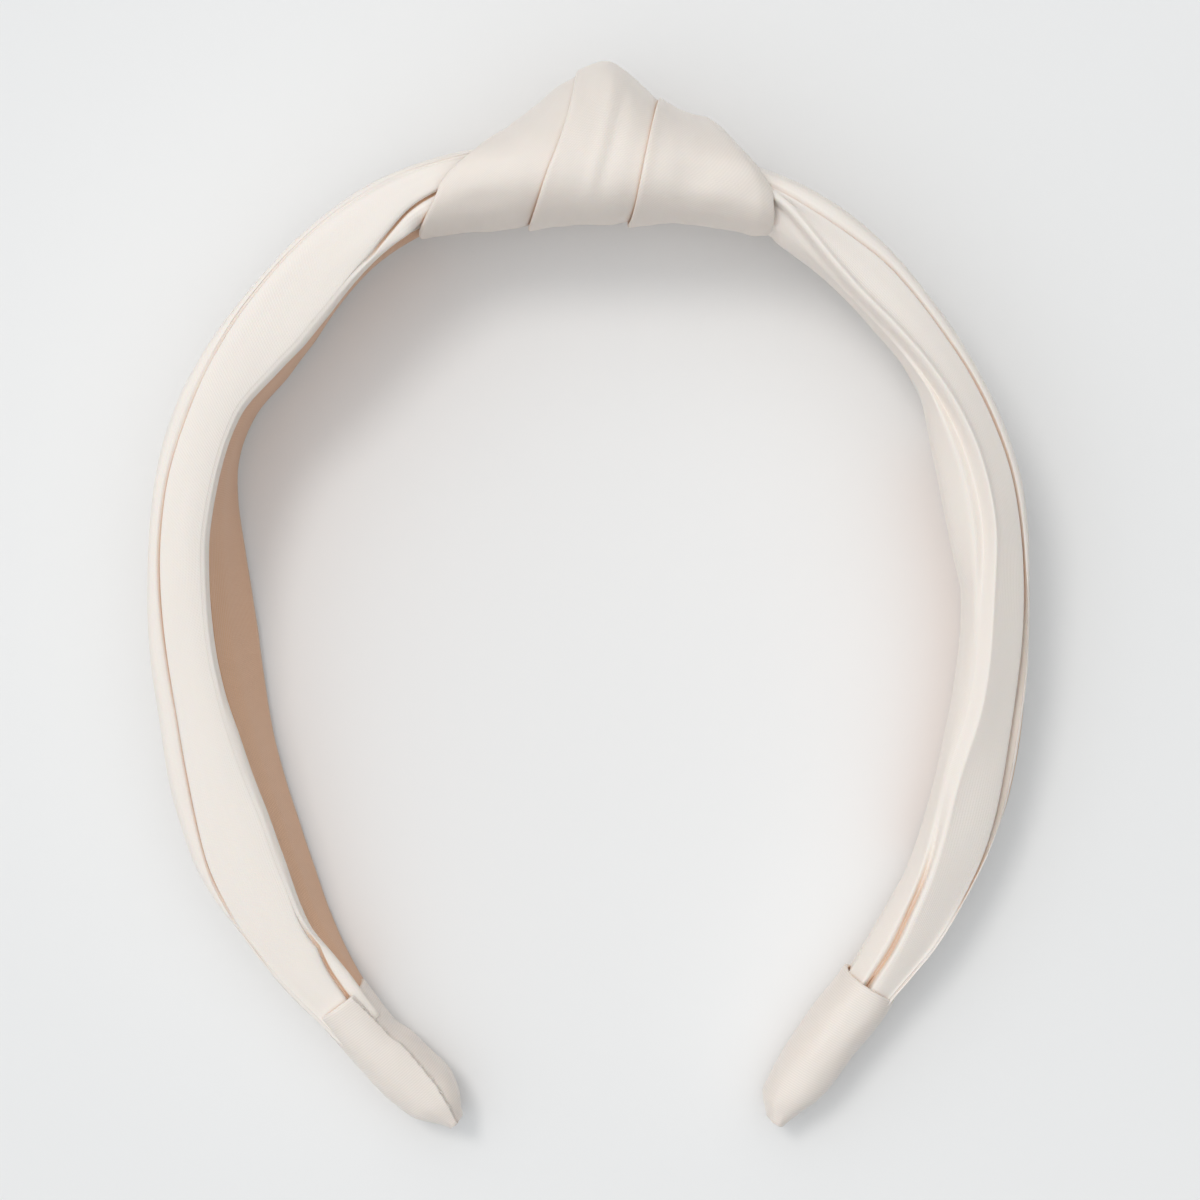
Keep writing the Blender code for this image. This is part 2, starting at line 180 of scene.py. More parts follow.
def fine_outlines(outlines, samples):
    """Closed outlines (count, corners, 2) drawn finely through their corners, with no overshoot."""
    before, after, beyond = (np.roll(outlines, by, axis=1) for by in (1, -1, -2))

    def gap(a, b):
        return np.sqrt(np.linalg.norm(b - a, axis=-1, keepdims=True)) + 1e-6

    t1 = gap(before, outlines)
    t2 = t1 + gap(outlines, after)
    t3 = t2 + gap(after, beyond)
    parts = []
    for k in range(samples):
        t = t1 + (t2 - t1) * k / samples
        a1 = ((t1 - t) * before + t * outlines) / t1
        a2 = ((t2 - t) * outlines + (t - t1) * after) / (t2 - t1)
        a3 = ((t3 - t) * after + (t - t2) * beyond) / (t3 - t2)
        b1 = ((t2 - t) * a1 + t * a2) / t2
        b2 = ((t3 - t) * a2 + (t - t1) * a3) / (t3 - t1)
        parts.append(((t2 - t) * b1 + (t - t1) * b2) / (t2 - t1))
    fine = np.stack(parts, axis=2)
    return fine.reshape(len(outlines), -1, 2)


def joined(corners):
    """Outlines (count, corners, 2) from corners that are each an outward and a forward array."""
    return np.stack([np.stack(np.broadcast_arrays(*corner), axis=-1) for corner in corners], axis=1)


def squarer(wave, power):
    """A sine or cosine to a power, with its sign: 1 gives an ellipse, and less a squarer outline."""
    return np.sign(wave) * np.abs(wave) ** power


def grid_normals(points):
    """Unit normals of a grid of points that closes on itself across."""
    across = np.roll(points, -1, axis=1) - np.roll(points, 1, axis=1)
    along = np.roll(points, -1, axis=0) - np.roll(points, 1, axis=0)
    along[0] = points[1] - points[0]
    along[-1] = points[-1] - points[-2]
    normals = np.cross(across, along)
    return normals / np.maximum(np.linalg.norm(normals, axis=-1, keepdims=True), 1e-12)


def cloth_noise(places, seed):
    """Soft noise from -1 to 1 at places given as (..., 3) arrays."""
    flat = places.reshape(-1, 3)
    values = [noise.noise(Vector(place) + Vector((seed, 2.3 * seed, 0.0))) for place in flat]
    return np.array(values).reshape(places.shape[:-1])


def mesh_object(name, points, material, wraps=False):
    """A cloth tube from rings of points.

    Its UV map "cloth" is in metres, round the ring and along the tube.
    """
    points = points.copy()
    points[..., 2] = np.maximum(points[..., 2], TABLE_TOP)
    count, around = points.shape[:2]
    vertices = points.reshape(-1, 3)
    rows = count if wraps else count - 1
    i, j = np.meshgrid(np.arange(rows), np.arange(around), indexing="ij")
    following, beside = (i + 1) % count, (j + 1) % around
    here, there = i * around, following * around
    faces = np.stack([here + j, here + beside, there + beside, there + j], axis=-1).reshape(-1, 4)

    girth = np.linalg.norm(np.roll(points, -1, axis=1) - points, axis=-1).mean(axis=0)
    girth = np.concatenate([[0.0], np.cumsum(girth)])
    steps = np.linalg.norm(np.roll(points, -1, axis=0) - points, axis=-1).mean(axis=1)
    length = np.concatenate([[0.0], np.cumsum(steps)])
    u = np.stack([girth[j], girth[j + 1], girth[j + 1], girth[j]], axis=-1)
    v = np.stack([length[i], length[i], length[i + 1], length[i + 1]], axis=-1)
    uvs = np.stack([u, v], axis=-1).reshape(-1, 2)

    polygons = [tuple(face) for face in faces.tolist()]
    if not wraps:
        for ring, order in ((0, -1), (count - 1, 1)):
            corners = [ring * around + k for k in range(around)][::order]
            middle = len(vertices)
            vertices = np.vstack([vertices, points[ring].mean(axis=0)])
            polygons += [(corners[k], corners[(k + 1) % around], middle) for k in range(around)]
            uvs = np.vstack([uvs, np.zeros((3 * around, 2))])

    mesh = bpy.data.meshes.new(name)
    mesh.from_pydata(vertices.tolist(), [], polygons)
    layer = mesh.uv_layers.new(name="cloth")
    layer.data.foreach_set("uv", uvs.astype(np.float32).ravel())
    if signed_volume(mesh) < 0:
        mesh.flip_normals()
    mesh.shade_smooth()
    mesh.materials.append(material)
    return new_object(name, mesh)


def new_object(name, data):
    obj = bpy.data.objects.new(name, data)
    bpy.context.scene.collection.objects.link(obj)
    return obj


def signed_volume(mesh):
    mesh.calc_loop_triangles()
    points = np.array([vertex.co for vertex in mesh.vertices], float)
    corners = np.array([triangle.vertices for triangle in mesh.loop_triangles])
    a, b, c = (points[corners[:, k]] for k in range(3))
    return float((a * np.cross(b, c)).sum() / 6)


def narrowed_ends(points, steps=4, push=0.0006):
    """Adds small closing rings at both ends of a tube, which round them off over a push in metres."""
    rings = list(points)
    for end in (0, -1):
        middle = rings[end].mean(axis=0)
        neighbour = rings[1] if end == 0 else rings[-2]
        away = middle - neighbour.mean(axis=0)
        away /= np.linalg.norm(away)
        base = rings[end].copy()
        for k in range(1, steps + 1):
            angle = math.pi / 2 * k / (steps + 0.6)
            ring = middle + (base - middle) * math.cos(angle) + away * push * math.sin(angle)
            if end == 0:
                rings.insert(0, ring)
            else:
                rings.append(ring)
    return np.array(rings)


# ---------------- the legs

# Half the band's depth, in mm, by the share of the way from the hinge to the tip cover's rim.
HALF_WIDTH = [
    (-0.15, 13.5), (-0.05, 15.6), (0.05, 16.0), (0.2, 15.0), (0.5, 12.0), (0.85, 8.4), (1.0, 6.9),
    (1.1, 6.0),
]

# How far each line of the cloth stands outward, in mm, by the same share. Negative shares are under
# the knot, and shares over 1 are inside the tip cover.
LEFT = {
    # the band's outer edge as seen from the front
    "outer": [
        (-0.12, 6.0), (0.0, 6.2), (0.1, 5.9), (0.18, 5.9), (0.24, 6.6), (0.3, 7.7), (0.37, 8.5),
        (0.5, 8.8), (0.58, 9.2), (0.65, 9.4), (0.7, 10.4), (0.8, 10.8), (0.84, 9.8), (0.88, 8.1),
        (0.96, 6.9), (1.0, 5.6), (1.1, 4.2),
    ],
    # the fold that lies over the outer strip
    "crease": [
        (-0.12, 5.3), (0.0, 5.2), (0.1, 4.8), (0.18, 4.6), (0.26, 5.0), (0.33, 5.6), (0.39, 6.4),
        (0.47, 6.6), (0.58, 6.3), (0.64, 6.2), (0.7, 6.9), (0.76, 7.8), (0.81, 8.6), (0.86, 8.1),
        (0.92, 6.9), (1.0, 5.0), (1.1, 3.8),
    ],
    # the main panel's rolled inner edge
    "edge": [
        (-0.12, -2.6), (0.0, -3.2), (0.04, -3.9), (0.07, -4.5), (0.11, -5.4), (0.15, -6.2), (0.2, -6.2),
        (0.25, -4.7), (0.3, -2.4), (0.34, -1.8), (0.39, -1.4), (0.45, -1.0), (0.58, -1.3), (0.63, -1.8),
        (0.67, -2.6), (0.77, -3.3), (0.83, -3.1), (0.88, -2.3), (0.91, -2.0), (0.94, -2.7),
        (0.98, -3.0), (1.1, -2.4),
    ],
    # the main panel's own edge where another fold comes out from under it, and how deep the slit
    # between them is
    "tuck": [
        (-0.12, 1.8), (-0.03, 1.2), (0.0, 0.4), (0.03, -1.4), (0.07, -3.4), (0.1, -4.0), (0.15, -4.7),
        (0.2, -4.7), (0.25, -3.2), (0.3, -1.0), (0.45, 0.4), (0.63, -0.4), (0.77, -1.9), (0.88, -1.2),
        (0.91, -1.6), (0.93, -1.2), (0.955, -0.6), (1.0, -0.4), (1.1, -0.2),
    ],
    "tuck_depth": [
        (-0.12, 1.7), (0.02, 1.6), (0.06, 1.0), (0.1, 0.0), (0.885, 0.0), (0.915, 1.2), (0.95, 1.7),
        (1.1, 1.7),
    ],
    # the back edge of the inner wall
    "back_in": [
        (-0.12, -3.4), (0.0, -3.9), (0.08, -4.3), (0.14, -5.2), (0.2, -6.0), (0.26, -5.2), (0.31, -2.8),
        (0.35, -2.0), (0.38, -2.0), (0.42, -3.0), (0.47, -4.6), (0.52, -5.7), (0.57, -6.3),
        (0.63, -6.2), (0.7, -5.7), (0.8, -5.5), (0.86, -4.9), (0.91, -3.9), (0.95, -3.1), (1.0, -2.2),
        (1.1, -1.8),
    ],
    # the back edge of the outer face
    "back_out": [(-0.1, 5.2), (0.0, 5.8), (0.3, 6.0), (0.57, 4.8), (0.82, 4.5), (1.0, 4.6), (1.1, 4.2)],
    # how far the cloth opens between the fold and the strip, how deep, and how much of a fold there is
    "gap": [(0.0, 0.0), (0.45, 0.08), (0.6, 0.15), (0.8, 0.15), (0.9, 0.05)],
    "depth": [(0.0, 0.3), (0.25, 0.5), (0.5, 0.9), (0.8, 1.0), (0.9, 0.5), (1.0, 0.3)],
    "fold": [
        (-0.1, 0.0), (0.06, 0.1), (0.12, 0.25), (0.2, 0.3), (0.3, 0.4), (0.45, 0.6), (0.6, 0.9),
        (0.78, 0.9), (0.85, 0.45), (0.9, 0.0),
    ],
    "slope": [(0.0, 0.2), (0.2, 0.1), (0.5, 0.1), (0.8, 0.4), (1.0, 0.5)],
}
RIGHT = {
    "outer": [
        (-0.15, 4.6), (-0.04, 5.0), (0.04, 5.6), (0.12, 6.0), (0.18, 6.1), (0.26, 6.9), (0.33, 7.8),
        (0.4, 8.4), (0.48, 7.3), (0.57, 6.5), (0.63, 6.4), (0.69, 6.8), (0.76, 7.6), (0.81, 7.4),
        (0.92, 7.6), (0.96, 6.9), (1.0, 5.7), (1.1, 4.3),
    ],
    "crease": [
        (-0.15, 3.0), (0.0, 3.0), (0.03, 2.7), (0.08, 3.1), (0.12, 4.0), (0.17, 4.3), (0.22, 4.7),
        (0.27, 5.6), (0.32, 6.2), (0.38, 6.7), (0.43, 6.5), (0.49, 6.1), (0.57, 5.4), (0.63, 4.8),
        (0.68, 4.8), (0.72, 5.3), (0.77, 6.3), (0.81, 7.0), (0.86, 7.1), (0.92, 6.9), (1.0, 5.2),
        (1.1, 3.8),
    ],
    # the bright rolled ridge, which becomes the main roll's crest lower down
    "ridge": [
        (-0.15, 2.4), (-0.01, 2.0), (0.02, 0.5), (0.07, -1.6), (0.13, -2.2), (0.19, -1.0), (0.25, 0.5),
        (0.3, 1.6), (0.34, 2.2), (0.39, 2.4), (0.44, 2.2), (0.47, 1.5), (0.53, 0.3), (0.6, -0.3),
        (0.66, -1.0), (0.71, -1.9), (0.75, -1.8), (0.79, -0.9), (0.82, -0.2), (0.86, 0.8), (0.91, 1.6),
        (0.95, 2.3), (1.0, 2.1), (1.1, 1.6),
    ],
    # the inner wall's edge as seen from the front
    "edge": [
        (-0.15, -3.6), (0.0, -4.2), (0.04, -4.6), (0.11, -4.4), (0.18, -3.8), (0.24, -2.6),
        (0.27, -2.2), (0.3, -3.2), (0.34, -4.0), (0.41, -4.5), (0.47, -4.3), (0.51, -3.6), (0.55, -4.0),
        (0.61, -4.7), (0.68, -5.2), (0.73, -5.0), (0.78, -4.3), (0.83, -3.4), (0.88, -2.6),
        (0.93, -2.3), (1.0, -1.9), (1.1, -1.8),
    ],
    "back_in": [
        (-0.15, -3.4), (0.0, -3.7), (0.05, -3.9), (0.12, -3.4), (0.19, -2.6), (0.25, -2.1),
        (0.31, -2.1), (0.36, -2.3), (0.43, -2.6), (0.5, -1.7), (0.54, -1.6), (0.63, -2.4), (0.69, -2.6),
        (0.79, -1.9), (0.85, -1.7), (1.0, -1.6), (1.1, -1.5),
    ],
    "back_out": [(-0.1, 5.0), (0.0, 5.4), (0.5, 5.8), (0.65, 5.2), (0.85, 4.8), (1.0, 4.7), (1.1, 4.2)],
    "gap": [(0.0, 0.0), (0.4, 0.08), (0.53, 0.3), (0.6, 1.1), (0.7, 1.0), (0.77, 0.8), (0.84, 0.1)],
    "depth": [
        (0.0, 0.4), (0.25, 0.6), (0.42, 1.0), (0.55, 1.8), (0.6, 2.6), (0.75, 2.4), (0.83, 0.8),
        (1.0, 0.3),
    ],
    "fold": [(-0.1, 0.3), (0.05, 0.45), (0.3, 0.7), (0.5, 1.0), (0.78, 1.0), (0.84, 0.5), (0.9, 0.0)],
    # how far the panel falls from the ridge to the crease
    "slope": [
        (0.0, 0.8), (0.15, 1.4), (0.3, 1.9), (0.42, 2.2), (0.52, 2.8), (0.7, 3.2), (0.82, 2.7),
        (0.92, 1.7), (1.0, 0.9),
    ],
    # the furrow beside the ridge: how far from it, how deep, and how far down the wall starts beyond it
    "furrow": [
        (0.0, 1.2), (0.2, 1.2), (0.3, 1.6), (0.46, 1.6), (0.55, 1.7), (0.75, 1.6), (0.83, 0.8),
        (1.0, 0.8),
    ],
    "furrow_depth": [
        (0.0, 1.8), (0.1, 2.8), (0.2, 2.7), (0.27, 1.9), (0.33, 1.5), (0.45, 1.2), (0.52, 0.8),
        (0.6, 0.7), (0.76, 0.8), (0.82, 1.3), (0.88, 2.2), (1.0, 2.2),
    ],
    "wall_drop": [
        (0.0, 2.4), (0.1, 3.2), (0.2, 3.0), (0.26, 1.6), (0.31, 0.5), (0.48, 0.5), (0.54, 1.2),
        (0.65, 1.4), (0.8, 1.1), (0.86, 0.6), (1.0, 0.4),
    ],
    "ridge_height": [
        (0.0, 0.3), (0.1, 0.6), (0.4, 0.7), (0.5, 0.4), (0.65, 0.3), (0.8, 0.25), (1.0, 0.1),
    ],
}


def strip_and_back(at, half):
    """The corners of a leg's outline from the bottom of the inner wall round the back to the crease."""
    crease, outer, inside, outside = at["crease"], at["outer"], at["back_in"], at["back_out"]
    fold, lip = at["fold"], half - at["slope"]
    gap, depth = at["gap"], at["depth"] * fold
    strip = lip - 0.12 - 0.73 * fold
    return [
        (inside + 0.3, -half + 1.3),
        (inside + 1.6, -half + 0.15),
        ((inside + outside) / 2, -half - 0.05),
        (outside - 1.3, -half + 0.1),
        (outside, -half + 1.6),
        (outside * 0.65 + outer * 0.35, -0.35 * half),
        (outside * 0.25 + outer * 0.75, 0.3 * half),
        (outer - 0.05, half - 4.2 - at["slope"] * 0.3),
        (outer - 0.2, strip - 1.3),
        (crease * 0.3 + outer * 0.7 + gap * 0.3, strip - 0.35),
        (crease * 0.75 + outer * 0.25 + gap * 0.7, strip),
        (crease + 0.35 - 0.25 * fold + gap, strip + 0.02 - 0.27 * fold),
        (crease + 0.2 - 0.5 * fold + gap * 0.3, strip + 0.02 - 0.2 * fold - depth * 0.6),
        (crease + 0.1 - 1.05 * fold, strip + 0.04 - 0.15 * fold - depth),
        (crease + 0.05 - 0.9 * fold, lip - 0.08 - fold - depth * 0.3),
        (crease - 0.02 - 0.3 * fold, lip - 0.06 - 0.74 * fold),
    ]


def left_outline(at, half):
    """The corners of the left leg's outline, round the front first."""
    crease, edge, inside = at["crease"], at["edge"], at["back_in"]
    tuck, depth = np.maximum(at["tuck"], edge + 1.3), at["tuck_depth"]
    panel, lip = crease - tuck, half - at["slope"]
    front = [
        (crease - 0.08, lip - 0.04 - 0.38 * at["fold"]),
        (crease - 0.45, lip - 0.08),
        (crease - 0.35 * panel, half * 0.5 + lip * 0.5 + 0.2),
        (crease - 0.7 * panel, half + 0.3),
        (tuck + 0.25, half + 0.15),
        (tuck - 0.02, half + 0.1 - 0.2 * depth),
        (tuck - 0.12 + 0.07 * depth, half + 0.06 - depth),
        (tuck - 0.35, half - 0.02 - 0.85 * depth),
        (tuck - 0.7, half - 0.14 - 0.4 * depth),
        (edge + 0.35, half - 0.55 - 0.2 * depth),
        (edge, half - 1.35),
        (edge + 0.25, half - 2.2),
        (edge + 0.75, half - 2.8),
        (edge * 0.9 + inside * 0.1 + 0.7, half - 4.2),
        (edge * 0.5 + inside * 0.5 + 0.55, 0.0),
        (edge * 0.15 + inside * 0.85 + 0.4, -0.62 * half),
    ]
    return front + strip_and_back(at, half)


def right_outline(at, half):
    """The corners of the right leg's outline, round the front first."""
    crease, edge, ridge, inside = at["crease"], at["edge"], at["ridge"], at["back_in"]
    valley = np.maximum(ridge - at["furrow"], edge + 0.6)
    wall = half - at["wall_drop"]
    rise, lip = at["ridge_height"], half - at["slope"]
    front = [
        (crease - 0.08, lip - 0.04 - 0.38 * at["fold"]),
        (crease - 0.45, lip - 0.02),
        (crease * 0.55 + ridge * 0.45, half * 0.45 + lip * 0.55 + 0.1),
        (ridge + 0.9, half - rise * 0.1),
        (ridge + 0.3, half + rise),
        (ridge - 0.3, half + rise * 0.4),
        (valley + 0.25, half - at["furrow_depth"] * 0.8),
        (valley - 0.05, half - at["furrow_depth"]),
        (valley * 0.75 + edge * 0.25 - 0.2, wall - 0.1),
        (valley * 0.4 + edge * 0.6, wall - 1.2),
        (edge + 0.2, wall - 3.4),
        (edge, half * 0.4),
        (edge * 0.5 + inside * 0.5 + 0.3, 0.0),
        (inside + 0.4, -0.6 * half),
    ]
    return front + strip_and_back(at, half)


LEGS = {"left": (LEFT, left_outline), "right": (RIGHT, right_outline)}
LONG_PUCKER = (26, 5.5)  # mm along and round the leg
SHORT_PUCKER = (9, 2.6)
CRISP_LINES = ("edge", "back_in", "tuck", "tuck_depth")
CRISP = 0.01  # the share over which the corners of these lines are rounded


def rim_distance(side):
    return BAND.reach[side] - COVER_LENGTH


def leg_share(side, distance):
    """The share of the way from the hinge to the tip cover's rim."""
    return (np.abs(distance) - HINGE) / (rim_distance(side) - HINGE)


def leg_outlines(side, distance):
    """The leg's cloth outlines (outward, forward) in mm at these distances."""
    tables, outline = LEGS[side]
    share = leg_share(side, distance)
    at = {}
    for name, table in tables.items():
        line = softened(table, CRISP) if name in CRISP_LINES else softened(table)
        at[name] = line(share)
    half = softened(HALF_WIDTH)(share)
    return joined(outline(at, half))


def leg_wrinkles(side, distance, girth):
    """How far the satin stands proud, in mm: long soft puckers, tighter near the knot and the tip."""
    share = leg_share(side, distance)
    seed = 3.1 if side == "left" else 8.4
    d, g = np.broadcast_arrays(distance[:, None], girth)
    places = np.stack([d, g, 0 * d], axis=-1)
    long_waves = cloth_noise(places / (*LONG_PUCKER, 1), seed)
    short_waves = cloth_noise(places / (*SHORT_PUCKER, 1), seed + 5)
    near_ends = np.maximum(1 - ramp(share, 0.02, 0.16), ramp(share, 0.84, 0.97))[:, None]
    return 0.2 * long_waves + (0.035 + 0.08 * near_ends) * short_waves


def make_sleeve(side, material):
    """The satin round one leg, drawn in at the knot and wrinkled."""
    sign = SIDES[side]
    distance = np.linspace(SLEEVE_START, rim_distance(side) + SLEEVE_UNDER_COVER, SLEEVE_STATIONS)
    outlines = fine_outlines(leg_outlines(side, sign * distance), 4)
    outlines = tuck_into_knot(side, sign * distance, outlines)
    points = BAND.place(sign * distance[:, None], outlines[..., 0], outlines[..., 1])
    steps = np.linalg.norm(np.roll(points, -1, axis=1) - points, axis=-1) / MM
    girth = np.cumsum(steps, axis=1)
    normals = grid_normals(points)
    outward = (points - points.mean(axis=1, keepdims=True)) * normals
    normals *= math.copysign(1, outward.sum())
    points = points + normals * leg_wrinkles(side, sign * distance, girth)[..., None] * MM
    obj = mesh_object(f"satin_sleeve_{side}", narrowed_ends(points), material)
    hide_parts(f"sleeve_{side}")
    bend_at_hinge(obj, side)


def bend_at_hinge(obj, side):
    sign = SIDES[side]
    start, end = (BAND.place(np.array(sign * d), 0.0, 0.0) for d in (BEND_START, BEND_END))
    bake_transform(obj)


def make_lining(side, material):
    """The ribbon on the leg's inner wall: a thin strip that follows the wall of the sleeve.

    On the left its front edge is tucked under the panel's roll. On the right it is under the satin
    near the knot and near the tip, and on top of it in between.
    """
    sign = SIDES[side]
    distance = np.linspace(RIBBON_START, rim_distance(side) + RIBBON_UNDER_COVER, RIBBON_STATIONS)
    tables = LEGS[side][0]
    share = leg_share(side, distance)
    half = softened(HALF_WIDTH)(share)
    edge, inside = (softened(tables[name], CRISP)(share) for name in ("edge", "back_in"))
    # how far under the sleeve's inner face the ribbon is at its front edge and further back, in mm;
    # negative is on top of it
    if side == "left":
        front = -0.2 * half + (1.2 * half - 2.45) * ramp(share, 0.01, 0.14)
        under_at_front, under_at_back = 0.5, -0.25
    else:
        front = -0.1 * half
        uncovered = ramp(share, 0.33, 0.37) - ramp(share, 0.82, 0.86)
        under_at_front = under_at_back = 1.0 - 1.2 * uncovered
    back = -half + 0.3
    rows = 14
    inner_face = []
    outer_face = []
    for k in range(rows + 1):
        forward = front + (back - front) * k / rows
        level = (1 - forward / half) / 2
        wall = edge * (1 - level) + inside * level
        under = under_at_front + (under_at_back - under_at_front) * ramp(k / rows, 0.0, 0.35)
        inner_face.append((wall + under, forward))
        outer_face.append((wall + under + RIBBON_THICKNESS, forward))
    outlines = joined(inner_face + outer_face[::-1])
    points = BAND.place(sign * distance[:, None], outlines[..., 0], outlines[..., 1])
    obj = mesh_object(f"lining_ribbon_{side}", points, material)
    soften = obj.modifiers.new("rounded edges", "BEVEL")
    soften.width = RIBBON_ROUNDING
    soften.segments = 2
    soften.limit_method = "ANGLE"
    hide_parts(f"lining_{side}")
    bend_at_hinge(obj, side)


# ---------------- the knot

# The knot's outside, in mm by the distance from the crown in mm: how far out it stands, how far in
# (negative), and half its depth. KNOT_SQUARE is the power in its outline, as in squarer().
KNOT_OUTER = [
    (-31, 7.0), (-20, 8.5), (-13, 9.7), (-8, 12.4), (-3.5, 15.9), (0.5, 18.1), (2.1, 18.1), (4.6, 16.3),
    (8.1, 13.1), (10.6, 11.4), (13.1, 10.8), (16.6, 10.9), (19, 10.2), (30, 6.8),
]
KNOT_INNER = [(-31, -4.7), (-20, -6.8), (-10, -7.4), (5, -7.2), (14, -6.2), (22, -5.6), (30, -4.8)]
KNOT_HALF = [(-31, 17.0), (-22, 18.0), (-10, 19.4), (8, 19.5), (20, 18.4), (30, 17.0)]
KNOT_SQUARE = [(-31, 0.74), (-16, 0.88), (0, 1.0), (15, 0.88), (30, 0.74)]
KNOT_WIDEST = 1.5  # how far out from the line the outline is at its deepest, in mm
KNOT_REACH = 34  # mm from the crown, past both of its ends
SLEEVE_CLEARANCE = 0.25  # mm between a turn and the sleeve drawn in under it
WRAP_THICKNESS = 0.8
LAP = 5.0  # mm of a turn that lies under the next one
LIP = 0.5  # mm that a turn's left edge stands proud of its neighbour
STATIONS_ROUND_KNOT = 220

# Each turn's left edge: (degrees round the band from its outer side over the front, distance in mm).
LEFT_EDGES = {
    "left": [
        (0, -4.5), (30, -11.5), (45, -15), (60, -18), (75, -21.3), (90, -24.2), (110, -26.6),
        (130, -28.4), (150, -29.6), (180, -30.2), (230, -28.6), (270, -24.5), (300, -20), (330, -14.2),
        (360, -4.5),
    ],
    "middle": [
        (0, -2.6), (40, -3.4), (70, -5.4), (95, -7.9), (130, -10), (165, -11.4), (200, -11.6),
        (240, -9.5), (290, -6), (330, -3.6), (360, -2.6),
    ],
    "right": [
        (0, 8.9), (40, 8.2), (72, 7.4), (100, 6.6), (165, 5.2), (200, 5.1), (250, 6.3), (300, 7.8),
        (360, 8.9),
    ],
    "end": [
        (0, 17.3), (30, 18.8), (45, 21.2), (62, 23.6), (80, 26.3), (100, 27.9), (130, 29), (180, 29.4),
        (230, 28.6), (270, 26.3), (300, 23.4), (330, 19.6), (360, 17.3),
    ],
}
WRAP_ORDER = ["left", "middle", "right", "end"]  # "end" is only the right turn's right edge


def round_the_band(name):
    """An edge's distance in mm as a smooth function of the turn in degrees, joined at 360."""
    table = np.array(LEFT_EDGES[name], float)
    before = table[:-1] - (360, 0)
    after = table[1:] + (360, 0)
    return softened(np.vstack([before, table, after]).tolist(), width=9)


def knot_outline(distance, turn, raised=0.0):
    """(outward, forward) in mm on the knot's outside; turn in radians, raised in mm."""
    outer = softened(KNOT_OUTER, 0.9)(distance) + raised
    inner = softened(KNOT_INNER, 2.0)(distance) - raised
    half = softened(KNOT_HALF, 2.0)(distance) + raised
    square = softened(KNOT_SQUARE, 2.0)(distance)
    across, forward = squarer(np.cos(turn), square), squarer(np.sin(turn), square)
    middle = (outer + inner) / 2
    peak = (middle - KNOT_WIDEST) / 2
    outward = middle - peak + (outer - inner) / 2 * across + peak * np.cos(2 * turn)
    return outward, half * forward


def tuck_into_knot(side, distance, outlines):
    """Draws the sleeve's outlines in where the knot's first or last turn lies over them."""
    edge = round_the_band("left" if side == "left" else "end")
    turns = np.linspace(0, 2 * math.pi, 181)
    tucked = outlines.copy()
    for k, place in enumerate(distance):
        if abs(place) > KNOT_REACH:
            continue
        sunk = -WRAP_THICKNESS - SLEEVE_CLEARANCE
        outward, forward = knot_outline(np.full_like(turns, place), turns, sunk)
        centre = (outward.max() + outward.min()) / 2
        angles = np.unwrap(np.arctan2(forward, outward - centre))
        reach = np.hypot(forward, outward - centre)
        here = outlines[k] - (centre, 0.0)
        angle = np.arctan2(here[:, 1], here[:, 0]) % (2 * math.pi)
        limit = np.interp(angle, angles, reach)
        turn = np.degrees(np.interp(angle, angles, turns))
        past = (place - edge(turn)) if side == "left" else (edge(turn) - place)
        covered = ramp(past, -2.2, 0.3)
        size = np.hypot(here[:, 0], here[:, 1])
        drawn = np.minimum(size, limit)
        size_now = size + (drawn - size) * covered
        tucked[k] = here * (size_now / np.maximum(size, 1e-6))[:, None] + (centre, 0.0)
    return tucked


def strip_section(width, lap):
    """A folded strip's cross-section: (mm from its left edge, offset in mm from its outer face)."""
    radius = WRAP_THICKNESS / 2
    full = width + lap
    left = [math.pi / 2 + math.pi * k / 8 for k in range(1, 8)]
    right = [-math.pi / 2 + math.pi * k / 6 for k in range(1, 6)]
    inside = np.concatenate([np.linspace(0.02, 0.12, 5), np.linspace(0.16, 0.94, 22), [0.97]])
    outer_face = [(radius + share * (full - 2 * radius), 0.0) for share in inside]
    inner_face = [(place, -WRAP_THICKNESS) for place, _ in reversed(outer_face)]
    left_fold = [(radius + radius * math.cos(a), -radius + radius * math.sin(a)) for a in left]
    right_end = [(full - radius + radius * math.cos(a), -radius + radius * math.sin(a)) for a in right]
    return np.array(outer_face + right_end[::-1] + inner_face + left_fold[::-1])


def wrap_relief(name, turn, share, place):
    """Folds and dents of one turn, in mm, by the turn in degrees and the share across it."""
    seed = {"left": 1.7, "middle": 4.2, "right": 6.9}[name]
    round_place = np.stack(
        [np.cos(np.radians(turn)) * 1.3, np.sin(np.radians(turn)) * 1.3, place / 4.5], axis=-1
    )
    relief = 0.21 * cloth_noise(round_place, seed)
    fine_place = round_place * (1.6, 1.6, 2.2)
    relief += 0.09 * cloth_noise(fine_place, seed + 3)
    if name == "middle":
        relief += 0.22 * hump(share, 0.5, 0.07) * ramp(turn, 5, 40) * (1 - ramp(turn, 95, 140))
        relief -= 0.2 * hump(share, 0.62, 0.06) * ramp(turn, 15, 50) * (1 - ramp(turn, 90, 130))
    if name == "right":
        relief -= 0.4 * hump(turn, 88, 14) * hump(place, 15.5, 3.4)
        relief += 0.2 * hump(turn, 70, 12) * hump(place, 20, 3)
    if name == "left":
        relief -= 0.25 * hump(turn, 112, 12) * hump(place, -18, 4)
    return relief


